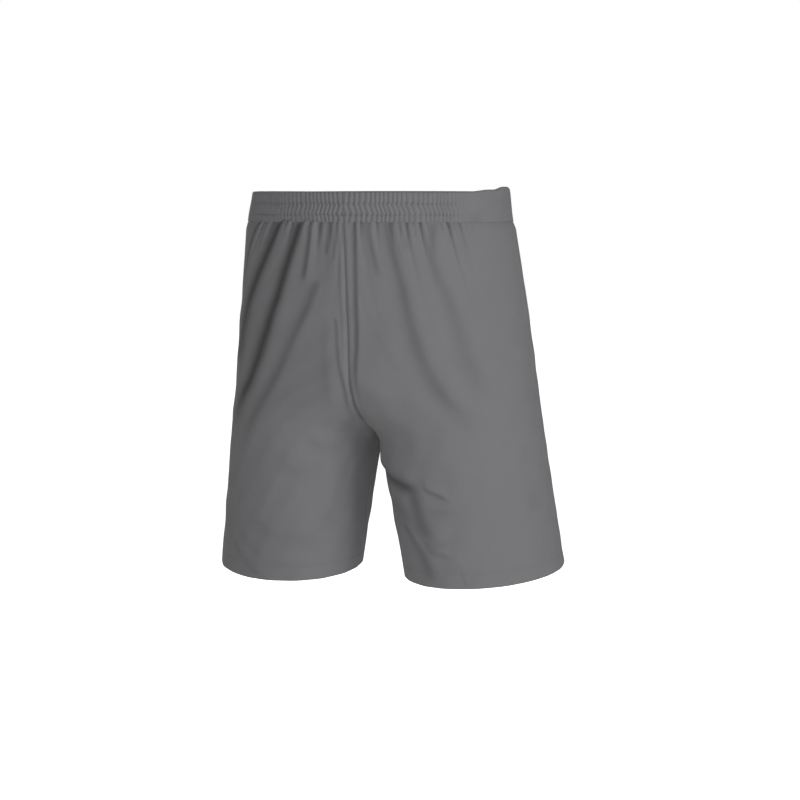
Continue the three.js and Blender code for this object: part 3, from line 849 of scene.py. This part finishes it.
class SHORTS_OT_waistband(bpy.types.Operator):
    """Waistband: a casing folded over elastic and sewn in rows, in a front and a back half"""

    bl_idname = "shorts.waistband"
    bl_label = "Waistband"

    def execute(self, context):
        for facing in FACES:
            piece = self.casing(facing, context.scene.shorts_sizes.cloth)
            dress(piece, SHELL, ["waistband_" + FACES[facing]], "seat")
        self.elastic()
        return {"FINISHED"}

    def casing(self, facing, cloth):
        """The folded strip: down its outside, back up under it, over the top inside the fold, and down and
        up its inner face."""
        quarter = np.linspace(0, 1, 380)
        halves = []
        for hand in (RIGHT, LEFT):
            share = quarter if hand == RIGHT else quarter[:-1][::-1]
            angle = facing * share * math.pi / 2
            halves.append(self.profile(hand, angle[:, None], cloth))
        points, uv, painted_shade = (np.concatenate([h[i] for h in halves]) for i in range(3))
        columns, rows = points.shape[:2]
        first_cap, last_cap = self.cap(0, rows), self.cap((columns - 1) * rows, rows)
        quads = np.concatenate([grid_quads(columns, rows, ring=True), first_cap, last_cap[:, ::-1]])
        return add_object(f"waistband_{FACES[facing]}_casing", points, quads, uv, painted_shade)

    def cap(self, first, rows):
        """The quads that close one end of the folded strip."""
        row = np.arange(rows // 2 - 1)
        last = rows - 1
        return first + np.stack([row, last - row, last - row - 1, row + 1], -1)

    def profile(self, hand, angle, cloth):
        """One half's strip, from the outer bottom edge over the rim to the inner bottom edge, and back
        inside the fold."""
        outer_rows, inner_rows, turn_rows = 46, 10, 7
        down = np.linspace(BAND_BOTTOM, RIM_RADIUS, outer_rows)
        turn = np.linspace(0, math.pi, turn_rows + 2)[1:-1]
        radius = BAND_DEPTH / 2
        over_depth = RIM_RADIUS - RIM_RADIUS * np.sin(turn)
        over_inset = radius * (1 - np.cos(turn))
        inside = np.linspace(RIM_RADIUS, BAND_BOTTOM, inner_rows)
        depth = np.concatenate([down, over_depth, inside])
        inset = np.concatenate([0 * down, over_inset, BAND_DEPTH + 0 * inside])
        gathered = np.concatenate([1 + 0 * down, (1 + np.cos(turn)) / 2, 0.35 + 0 * inside])
        depth_in = np.where(depth < RIM_RADIUS, RIM_RADIUS - (RIM_RADIUS - depth) * 0.6, depth)
        inset_in = inset + np.clip((radius - inset) / radius, -1, 1) * cloth
        depth = np.concatenate([depth, depth_in[::-1]])[None, :] + 0 * angle
        inset = np.concatenate([inset, inset_in[::-1]])[None, :] + 0 * angle
        gathered = np.concatenate([gathered, gathered[::-1]])[None, :]
        angle = angle + 0 * depth
        gather = band_relief(hand, angle, depth)
        # Shade painted into the colour in the valleys between the band's gathers.
        painted_shade = 0.7 * np.clip(-gather / GATHER_SHADE_DEPTH, 0, 1) * gathered
        out = gather * gathered - inset - band_tuck(hand, angle, depth)
        place = body_point(angle, depth) + out[..., None] * body_normal(angle, depth)
        x = np.where(np.abs(angle) >= math.pi / 2 - 1e-9, 0.0, np.maximum(place[..., 0], 0))
        place = np.stack([hand * x, place[..., 1], place[..., 2] + rim_lift(hand, angle, depth)], -1)
        uv = np.stack([WAIST_TURN * angle * hand, depth + inset], -1)
        return place, uv, painted_shade

    def elastic(self):
        """The elastic inside the casing: a flat band all the way round, with rounded edges."""
        turn = np.linspace(0, 2 * math.pi, 480, endpoint=False)[:, None]
        edge = np.linspace(0, 2 * math.pi, 20, endpoint=False)[None, :]
        depth = ELASTIC_MIDDLE - ELASTIC_HALF * rounded(np.cos(edge), 0.35) + 0 * turn
        inset = BAND_DEPTH / 2 - 0.0007 * rounded(np.sin(edge), 0.5) + 0 * turn
        hand = np.where(np.cos(turn) >= 0, 1, -1) + 0 * edge
        angle = np.arcsin(np.clip(np.sin(turn), -1, 1)) + 0 * edge
        tuck = np.where(hand == LEFT, band_tuck(LEFT, angle, depth), band_tuck(RIGHT, angle, depth))
        points = body_point(angle, depth) - (inset + tuck)[..., None] * body_normal(angle, depth)
        points[..., 0] *= hand
        uv = np.stack([turn * WAIST_TURN + 0 * edge, depth], -1)
        piece = add_object("waist_elastic_band", points, grid_quads(480, 20, ring=True, loop=True), uv)
        dress(piece, "waist elastic, woven", ["waistband_elastic"], "seat")


def leg_ring(columns):
    """Angles all the way round a leg, as a column."""
    return np.linspace(-math.pi, math.pi, columns, endpoint=False)[:, None]


class SHORTS_OT_hems(bpy.types.Operator):
    """The turned-up hem inside each leg, and the twin row of stitches that holds it"""

    bl_idname = "shorts.hems"
    bl_label = "Hems"

    def execute(self, context):
        sizes = context.scene.shorts_sizes
        top, bottom = OUTSEAM - HEM_HEIGHT, OUTSEAM - 0.0002
        outer = np.linspace(top, bottom, 16)
        depths = np.concatenate([outer, outer[::-1]])
        insets = np.concatenate([0 * outer, sizes.cloth + 0 * outer]) + sizes.cloth + 0.0003
        for hand, side in SIDES.items():
            angle = leg_ring(420) + 0 * depths[None, :]
            depth = depths[None, :] + 0 * angle
            inset = insets[None, :] + 0 * angle
            points = cloth_point(hand, angle, depth, inset=inset)
            quads = grid_quads(*depth.shape, ring=True, loop=True)
            piece = add_object(f"{side}_hem_fold", points, quads, cloth_uv(angle, depth))
            threads = [self.threads(hand, OUTSEAM - up, sizes.stitch_pitch) for up in HEM_STITCHES]
            dress(piece, SHELL, [f"{side}_hem"], f"{side}_leg")
            for thread, row in zip(threads, ("upper", "lower")):
                thread.name = f"{side}_hem_{row}_stitches"
                thread.data.materials.append(material(SHELL))
                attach(thread, f"{side}_leg")
        return {"FINISHED"}

    def threads(self, hand, row, pitch):
        """One row of stitches round a hem."""
        count = int(HEM_GIRTH / pitch)
        angle = np.linspace(-math.pi, math.pi, count, endpoint=False)
        depth = np.full_like(angle, row)
        path = cloth_point(hand, angle, depth, inset=0.0001)
        along = np.roll(path, -1, axis=0) - np.roll(path, 1, axis=0)
        along /= np.linalg.norm(along, axis=-1, keepdims=True)
        out = body_normal(angle, depth) * np.array([hand, 1, 1])
        return stitches("threads", path, out, along)


def middle_path(inset, top, rows, use_relief):
    """The line that a layer's two halves meet on: down the front, under the crotch and up the back, as
    (y, z) places, with the inward direction at each."""
    low, high = 0.16, FORK
    for _ in range(40):
        tried = (low + high) / 2
        here = section(np.array(tried))
        if here["middle"] < here["half_width"] - inset:
            low = tried
        else:
            high = tried
    depth = top + (low - top) * np.sin(np.linspace(0, math.pi / 2, rows))
    seam = seam_angle(depth, inset)
    halves = []
    for facing in (FRONT, BACK):
        place = body_point(facing * seam, depth, inset)
        if use_relief:
            own = seam_angle(depth)
            drop = cloth_relief(LEFT, facing * own, depth)
            place = place + drop[:, None] * body_normal(facing * own, depth)
        halves.append(place[:, 1:])
    path = np.concatenate([halves[0], halves[1][-2::-1]])
    along = np.gradient(path, axis=0)
    along /= np.linalg.norm(along, axis=-1, keepdims=True)
    return path, np.stack([-along[:, 1], along[:, 0]], -1)


def strap(name, path, inward, width, thickness, columns=9):
    """A flat tape along a path in the middle plane, with rounded edges: an outside and an inside grid."""
    x = np.linspace(-0.5, 0.5, columns) * width
    edge = 1 - np.abs(2 * x / width) ** 6
    rows = []
    for side in (1, -1):
        lift = thickness / 2 - side * thickness / 2 * edge
        yz = path[:, None, :] + inward[:, None, :] * lift[None, :, None]
        rows.append(np.concatenate([np.broadcast_to(x[None, :, None], (*yz.shape[:2], 1)), yz], -1))
    along = np.concatenate([[0], np.cumsum(np.linalg.norm(np.diff(path, axis=0), axis=-1))])
    uv = np.stack(np.broadcast_arrays(x[None, :], along[:, None]), -1)
    return two_layers(name, rows[0], rows[1], uv)


class SHORTS_OT_tapes(bpy.types.Operator):
    """The tape inside the rise seam, and the liner's gusset, both under the crotch from front to back"""

    bl_idname = "shorts.tapes"
    bl_label = "Rise tape and gusset"

    def execute(self, context):
        path, inward = middle_path(0.0012, BAND_BOTTOM + 0.001, 90, True)
        tape = strap("rise_tape", path, inward, 0.012, 0.0009)
        dress(tape, SHELL, ["rise_seam_tape"], "seat")
        path, inward = middle_path(LINER_INSET + 0.0002, 0.100, 70, False)
        gusset = strap("gusset", path, inward, 0.018, 0.0010)
        dress(gusset, "liner power mesh", ["liner_gusset"], "seat")
        return {"FINISHED"}


def liner_inset(depth):
    """The liner starts inside the waistband and settles to its full distance from the shell."""
    return BAND_DEPTH + 0.0012 + (LINER_INSET - BAND_DEPTH - 0.0012) * step(0.020, 0.075, depth)


class SHORTS_OT_liner(bpy.types.Operator):
    """The close liner: stretch mesh panels, and a ribbed cuff on each leg"""

    bl_idname = "shorts.liner"
    bl_label = "Liner"

    def execute(self, context):
        for hand, side in SIDES.items():
            for facing, face in FACES.items():
                self.panel(hand, side, facing, face)
            self.cuff(hand, side)
        return {"FINISHED"}

    def panel(self, hand, side, facing, face):
        """One mesh panel from the waistband to the cuff, faintly rippled where it is stretched."""
        share, depth = panel_grid(0.022, CUFF_BOTTOM - CUFF_HEIGHT, 80, 90, 60, crotch=FORK - 0.0085)
        inset = liner_inset(depth)
        angle = facing * (1 - share) * seam_angle(depth, inset)
        inset = inset + band_tuck(hand, angle, depth) * (1 - step(0.030, 0.100, depth))
        wave = 0.0005 * np.sin(angle * 46 + depth * 25) * np.exp(-((depth - 0.37) / 0.04) ** 2)
        grids = [inner_point(hand, angle, depth, inset + wave + extra) for extra in (0, 0.0009)]
        for grid in grids:
            grid[..., 0] = hand * np.maximum(hand * grid[..., 0], 0.0002)
        name = f"{side}_liner_{face}"
        piece = two_layers(name + "_mesh", *grids, cloth_uv(angle, depth))
        replaced = [name] + ([f"liner_{face}_upper"] if hand == LEFT else [])
        dress(piece, "liner power mesh", replaced)
        bend(piece)

    def cuff(self, hand, side):
        """A double band of ribbed elastic that holds the liner's leg."""
        top, bottom = CUFF_BOTTOM - CUFF_HEIGHT + 0.0004, CUFF_BOTTOM
        edge = np.linspace(0, 2 * math.pi, 36, endpoint=False)[None, :]
        angle = leg_ring(560) + 0 * edge
        rib = 0.00035 * np.abs(np.sin(angle * 110))
        depth = (top + bottom) / 2 - (bottom - top) / 2 * rounded(np.cos(edge), 0.3) + 0 * angle
        inset = LINER_INSET + 0.0012 - 0.0009 * rounded(np.sin(edge), 0.4) - rib
        points = inner_point(hand, angle, depth, inset)
        name = f"{side}_liner_cuff"
        quads = grid_quads(*depth.shape, ring=True, loop=True)
        piece = add_object(name + "_rib", points, quads, cloth_uv(angle, depth))
        dress(piece, "ribbed elastic", [name], f"{side}_leg")


# Pads: the middle's angle and depth, and half sizes round and down, in degrees and metres.
PAD_INSET = 0.0175
LEG_PADS = {
    "hip_pad": (4, 0.172, 25, 0.062),
    "thigh_pad": (18, 0.312, 34, 0.052),
    "sit_pad": (-76, 0.245, 22, 0.052),
}
TAIL_PAD = (0.1475, 0.038, 0.0455)  # depth of the middle, half width and half height
PAD_ROUNDNESS = 0.62  # 1 would be an oval outline, and 0 a square one
PAD_SPOKES = 96
CHANNEL_DOWN, CHANNEL_ROUND = 0.0020, 0.0022  # half widths of the sewn channels
CHANNEL_DEPTH = 0.62


def pad_blank(name, half_width, half_height, thickness):
    """A flat lens with a rounded-square outline: across and down follow a superellipse, and the thickness
    falls from the middle to a thin sewn edge."""
    rings, spokes = np.linspace(0.0, 1, 14)[1:], np.linspace(0, 2 * math.pi, PAD_SPOKES, endpoint=False)
    reach, turn = np.meshgrid(rings, spokes, indexing="ij")
    x = half_width * reach * rounded(np.cos(turn), PAD_ROUNDNESS)
    y = half_height * reach * rounded(np.sin(turn), PAD_ROUNDNESS)
    half = thickness / 2 * np.sqrt(np.clip(1 - 0.92 * reach**4, 0, 1)) * 0.7
    upper, lower = np.stack([x, y, half], -1), np.stack([x, y, -half], -1)
    sheet = np.concatenate([upper, lower[::-1]])
    quads = grid_quads(len(sheet), PAD_SPOKES, ring=True)
    mesh = bpy.data.meshes.new(name)
    poles = np.array([[0, 0, half[0, 0]], [0, 0, -half[0, 0]]])
    points = np.concatenate([sheet.reshape(-1, 3), poles])
    near = np.arange(PAD_SPOKES)
    after, far = np.roll(near, -1), (len(sheet) - 1) * PAD_SPOKES
    top_fan = np.stack([np.full(PAD_SPOKES, len(points) - 2), after, near], -1)
    low_fan = np.stack([np.full(PAD_SPOKES, len(points) - 1), far + near, far + after], -1)
    mesh.from_pydata(points.tolist(), [], [*quads.tolist(), *top_fan.tolist(), *low_fan.tolist()])
    return new_object(name, mesh)


def apply_modifiers(piece):
    """Bakes a piece's modifiers into its mesh at the current frame."""
    graph = bpy.context.evaluated_depsgraph_get()
    baked = bpy.data.meshes.new_from_object(piece.evaluated_get(graph))
    piece.modifiers.clear()
    piece.data = baked


def vertex_array(piece):
    """The places of a piece's vertices, as rows."""
    co = np.empty(len(piece.data.vertices) * 3)
    piece.data.vertices.foreach_get("co", co)
    return co.reshape(-1, 3)


def puff_up(piece, cap):
    """Remeshes a blank and blows it up as cloth for twenty frames; no point moves further than the cap.
    The wrinkles that the pressure leaves along the edge stay."""
    remesh = piece.modifiers.new("even", "REMESH")
    remesh.mode, remesh.voxel_size = "VOXEL", 0.0028
    apply_modifiers(piece)
    before = vertex_array(piece)
    cloth = piece.modifiers.new("cloth", "CLOTH")
    cloth.settings.use_pressure = True
    cloth.settings.uniform_pressure_force = 4.0
    cloth.settings.quality = 5
    cloth.settings.effector_weights.gravity = 0
    cloth.point_cache.frame_start, cloth.point_cache.frame_end = 1, 20
    for number in range(1, 21):
        bpy.context.scene.frame_set(number)
    apply_modifiers(piece)
    bpy.context.scene.frame_set(1)
    moved = vertex_array(piece) - before
    length = np.linalg.norm(moved, axis=-1, keepdims=True)
    after = before + moved * np.minimum(1, cap / np.maximum(length, 1e-9))
    piece.data.vertices.foreach_set("co", after.astype(np.float32).ravel())
    piece.data.update()
    piece.modifiers.new("round", "SUBSURF").levels = 1
    apply_modifiers(piece)


def quilted(flat, half_width, half_height, thickness):
    """Presses sewn channels into a puffed pad and evens it out: three blocks down, parted in the middle,
    inside a flat sewn border."""
    x, y, z = flat[:, 0], flat[:, 1], flat[:, 2]
    span = np.abs(z).max()
    z = z / span * thickness / 2
    channel = np.zeros_like(x)
    for line in (-half_height / 3, half_height / 3):
        channel = np.maximum(channel, np.exp(-(((y - line) / CHANNEL_ROUND) ** 2)))
    channel = np.maximum(channel, np.exp(-((x / CHANNEL_DOWN) ** 2)))
    rim = (np.abs(x) / half_width) ** 3.2 + (np.abs(y) / half_height) ** 3.2
    border = np.exp(-(((rim - 0.66) / 0.09) ** 2))
    pressed = 1 - CHANNEL_DEPTH * np.maximum(channel * (rim < 0.95), border)
    return np.stack([x, y, z * pressed], -1)


class SHORTS_OT_pads(bpy.types.Operator):
    """The foam pads on the liner: hip, thigh and sit pads on each leg, and one over the tailbone"""

    bl_idname = "shorts.pads"
    bl_label = "Pads"

    def execute(self, context):
        thick = context.scene.shorts_sizes.pad_thickness
        for name, (angle, depth, half_angle, half_height) in LEG_PADS.items():
            angle, half_angle = math.radians(angle), math.radians(half_angle)
            scale = float(turn_length(np.array(angle), np.array(depth))) - PAD_INSET
            flat, blank = self.flat_pad(name, half_angle * scale, half_height, thick)
            for hand, side in SIDES.items():
                inset = self.inset(flat, thick)
                place = inner_point(hand, angle + flat[:, 0] / scale, depth + flat[:, 1], inset)
                self.finish_pad(f"{side}_{name}", blank, place, hand, f"{side}_leg")
            bpy.data.objects.remove(blank)
        depth, half_width, half_height = TAIL_PAD
        flat, blank = self.flat_pad("tail", half_width, half_height, thick)
        self.finish_pad("tailbone_pad", blank, self.wrap_tail(flat, depth, thick), LEFT, "seat")
        bpy.data.objects.remove(blank)
        return {"FINISHED"}

    def flat_pad(self, name, half_width, half_height, thick):
        """One pad, flat: blown up and quilted."""
        blank = pad_blank(name + "_blank", half_width * 0.97, half_height * 0.97, thick)
        puff_up(blank, 0.006)
        return quilted(vertex_array(blank), half_width, half_height, thick), blank

    def inset(self, flat, thick):
        """Flat thickness turned into distance from the shell: the face on the liner is the flatter one."""
        z = flat[:, 2]
        return PAD_INSET + 0.35 * thick + np.where(z > 0, -0.6 * z, -1.2 * z)

    def wrap_tail(self, flat, depth, thick):
        """The tail pad laid on the back of the liner, over the middle."""
        down = depth + flat[:, 1]
        inset = self.inset(flat, thick)
        place = body_point(back_angle(flat[:, 0], down, inset), down, inset)
        place[:, 0] = flat[:, 0]
        return place

    def finish_pad(self, name, blank, place, hand, body):
        """A copy of the flat pad's mesh, put in its place and turned to face outwards."""
        mesh = blank.data.copy()
        mesh.vertices.foreach_set("co", np.ascontiguousarray(place, np.float32).ravel())
        piece = new_object(name + "_cover", mesh)
        mesh.update()
        mesh.calc_loop_triangles()
        corners = np.empty(len(mesh.loop_triangles) * 3, np.int32)
        mesh.loop_triangles.foreach_get("vertices", corners)
        a, b, c = place[corners.reshape(-1, 3)].transpose(1, 0, 2)
        if np.sum(np.cross(a, b) * c) < 0:
            mesh.flip_normals()
        mesh.polygons.foreach_set("use_smooth", np.ones(len(mesh.polygons), bool))
        dress(piece, "pad cloth, brushed", [name])
        if body == "seat":
            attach(piece, body)
        else:
            bend(piece)


class SHORTS_OT_size_tab(bpy.types.Operator):
    """A blank satin tab, folded and sewn inside the back of the waistband"""

    bl_idname = "shorts.size_tab"
    bl_label = "Size tab"

    def execute(self, context):
        low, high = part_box("size_tab")
        x = np.linspace(low.x, high.x, 26)[None, :]
        down = np.linspace(0, 1, 36)[:, None]
        z = high.z + (low.z - high.z) * down + 0 * x
        wall = body_point(back_angle(x, -z), -z, BAND_DEPTH + 0.0004)
        curl = 0.0016 * down**2 * (1 - np.cos(x / 0.012 * math.pi)) / 2 + 0.0008 * down
        grids = [
            np.stack([x + 0 * down, wall[..., 1] - curl - thickness, wall[..., 2]], -1)
            for thickness in (0.0, 0.0004)
        ]
        piece = two_layers("size_tab_ribbon", *grids, np.stack([x + 0 * down, z], -1))
        dress(piece, "satin ribbon", ["size_tab"], "seat")
        return {"FINISHED"}


class SHORTS_OT_stage(bpy.types.Operator):
    """Pale floor, soft studio lights and the camera"""

    bl_idname = "shorts.stage"
    bl_label = "Stage"

    def execute(self, context):
        self.floor(context)
        self.world(context)
        centre = Vector((0.0, 0.0, -0.235))
        self.light("key", (2.60, -1.05, 0.60), centre, 1.0, 28)
        self.light("front", (1.08, -2.68, -0.15), centre, 0.9, 20)
        self.light("fill", (-1.5, -2.5, 0.0), centre, 1.6, 7)
        self.light("top", (0.2, 0.2, 2.6), centre, 2.0, 6)
        self.light("back", (-1.6, 2.5, 0.7), centre, 1.3, 34)
        self.camera(context)
        context.scene.view_settings.view_transform = "Standard"
        return {"FINISHED"}

    def floor(self, context):
        """A flat floor, wide enough to be plain from every side."""
        low = min(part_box("left_hem")[0].z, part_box("right_hem")[0].z) - 0.35
        size = 14.0
        corners = np.array([[-1, -1], [1, -1], [1, 1], [-1, 1]]) * size
        mesh = bpy.data.meshes.new("floor")
        mesh.from_pydata([(x, y, low) for x, y in corners], [], [(0, 1, 2, 3)])
        floor = new_object("floor", mesh)
        made, tree, shader = new_material("painted studio floor", 0.9)
        place = place_of(tree)
        base = linear(context.scene.shorts_colours.floor)
        tone = two_tone(tree, base, noise(tree, place, 0.4, 2.0), 0.98, 1.02)
        tree.links.new(tone, shader.inputs["Base Color"])
        glow = add_node(tree, "ShaderNodeLightPath").outputs["Is Camera Ray"]
        tree.links.new(glow, shader.inputs["Emission Strength"])
        shader.inputs["Emission Color"].default_value = (1, 1, 1, 1)
        floor.data.materials.append(made)

    def world(self, context):
        """An even white surround."""
        world = bpy.data.worlds.new("studio")
        world.use_nodes = True
        shade = world.node_tree.nodes["Background"]
        shade.inputs["Color"].default_value = (1, 1, 1, 1)
        seen = add_node(world.node_tree, "ShaderNodeLightPath").outputs["Is Camera Ray"]
        power = add_node(world.node_tree, "ShaderNodeMapRange", Value=seen)
        power.inputs["To Min"].default_value, power.inputs["To Max"].default_value = 0.20, 1.0
        world.node_tree.links.new(power.outputs[0], shade.inputs["Strength"])
        context.scene.world = world

    def light(self, name, place, target, size, power):
        """A square soft light aimed at the target."""
        lamp = bpy.data.lights.new(name, "AREA")
        lamp.shape, lamp.size, lamp.energy = "SQUARE", size, power
        made = new_object(name, lamp)
        made.location = place
        made.rotation_euler = (target - Vector(place)).to_track_quat("-Z", "Y").to_euler()

    def camera(self, context):
        """Eye level with the waist, a little to the wearer's left."""
        azimuth, height = math.radians(21.35), math.radians(3.93)
        distance, across, up = 3.964, 0.02154, -0.2507
        level = math.cos(height)
        away = Vector((math.sin(azimuth) * level, -math.cos(azimuth) * level, math.sin(height)))
        sideways = Vector((math.cos(azimuth), math.sin(azimuth), 0))
        target = across * sideways + Vector((0, 0, up))
        lens = bpy.data.cameras.new("camera")
        frame_width = 0.9619  # metres seen across the frame at the target
        lens.sensor_width = 36
        lens.lens = 36 * distance / frame_width
        lens.clip_end = 60
        camera = new_object("camera", lens)
        camera.location = target + distance * away
        camera.rotation_euler = (-away).to_track_quat("-Z", "Y").to_euler()
        context.scene.camera = camera


OPERATORS = [
    SHORTS_OT_stage,
    SHORTS_OT_waistband,
    SHORTS_OT_panels,
    SHORTS_OT_hems,
    SHORTS_OT_tapes,
    SHORTS_OT_liner,
    SHORTS_OT_pads,
    SHORTS_OT_size_tab,
]


class SHORTS_PT_sidebar(bpy.types.Panel):
    """Buttons for each piece, and the sizes and colours"""

    bl_idname = "SHORTS_PT_sidebar"
    bl_label = "Padded shorts"
    bl_space_type = "VIEW_3D"
    bl_region_type = "UI"
    bl_category = "Shorts"

    def draw(self, context):
        for operator in OPERATORS:
            self.layout.operator(operator.bl_idname)
        for group in (context.scene.shorts_sizes, context.scene.shorts_colours):
            box = self.layout.box()
            for name in group.__annotations__:
                box.prop(group, name)


CLASSES = [ShortsSizes, ShortsColours, *OPERATORS, SHORTS_PT_sidebar]


def register():
    for item in CLASSES:
        bpy.utils.register_class(item)
    bpy.types.Scene.shorts_sizes = PointerProperty(type=ShortsSizes)
    bpy.types.Scene.shorts_colours = PointerProperty(type=ShortsColours)


def unregister():
    del bpy.types.Scene.shorts_colours
    del bpy.types.Scene.shorts_sizes
    for item in reversed(CLASSES):
        bpy.utils.unregister_class(item)


def main():
    """Builds every piece in order."""
    register()
    for operator in OPERATORS:
        name = operator.bl_idname.split(".")[1]
        getattr(bpy.ops.shorts, name)()


if __name__ == "__main__":
    main()
